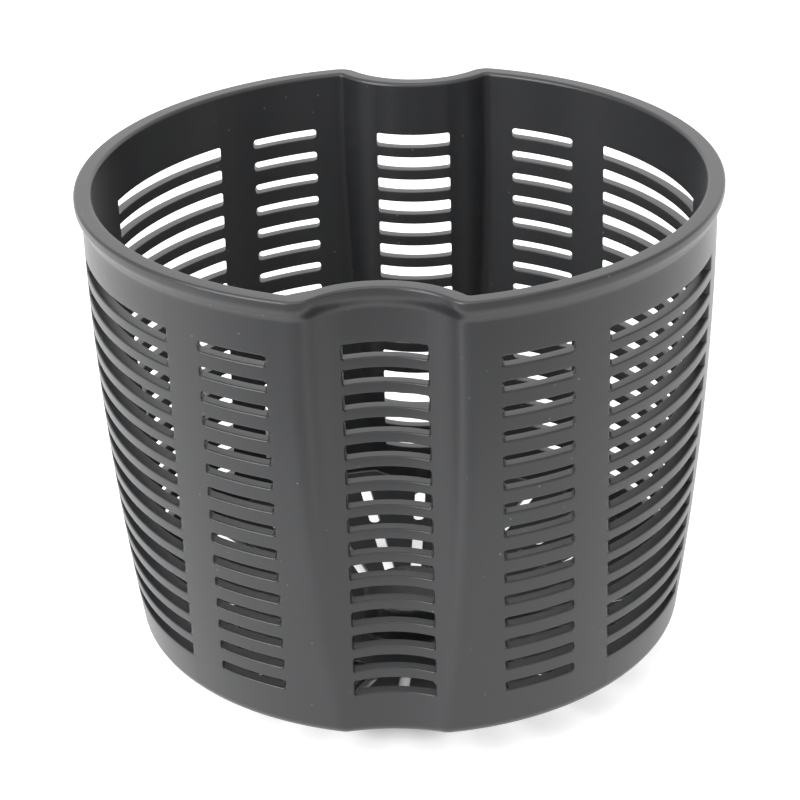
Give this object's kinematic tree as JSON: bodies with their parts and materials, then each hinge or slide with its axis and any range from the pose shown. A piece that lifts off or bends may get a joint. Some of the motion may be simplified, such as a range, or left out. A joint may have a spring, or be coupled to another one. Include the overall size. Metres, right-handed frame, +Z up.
{
  "type": "blender filter basket",
  "caption": "Open-topped plastic filter basket with a slotted wall, upright grooves, a thin lip and a dished, slotted floor with a raised boss; strains or steams food in a cooking blender.",
  "frame": {"origin": "centre of the flat foot, on the surface that the basket stands on", "axes": "+Z up to the open rim, +X across the plain side strips, the upright grooves at -Y and +Y"},
  "size_m": [0.1504, 0.1454, 0.1226],
  "materials": {
    "charcoal_plastic": "fine-grained satin moulded plastic"
  },
  "bodies": {
    "root": {"basket": "charcoal_plastic"}
  },
  "joints": []
}
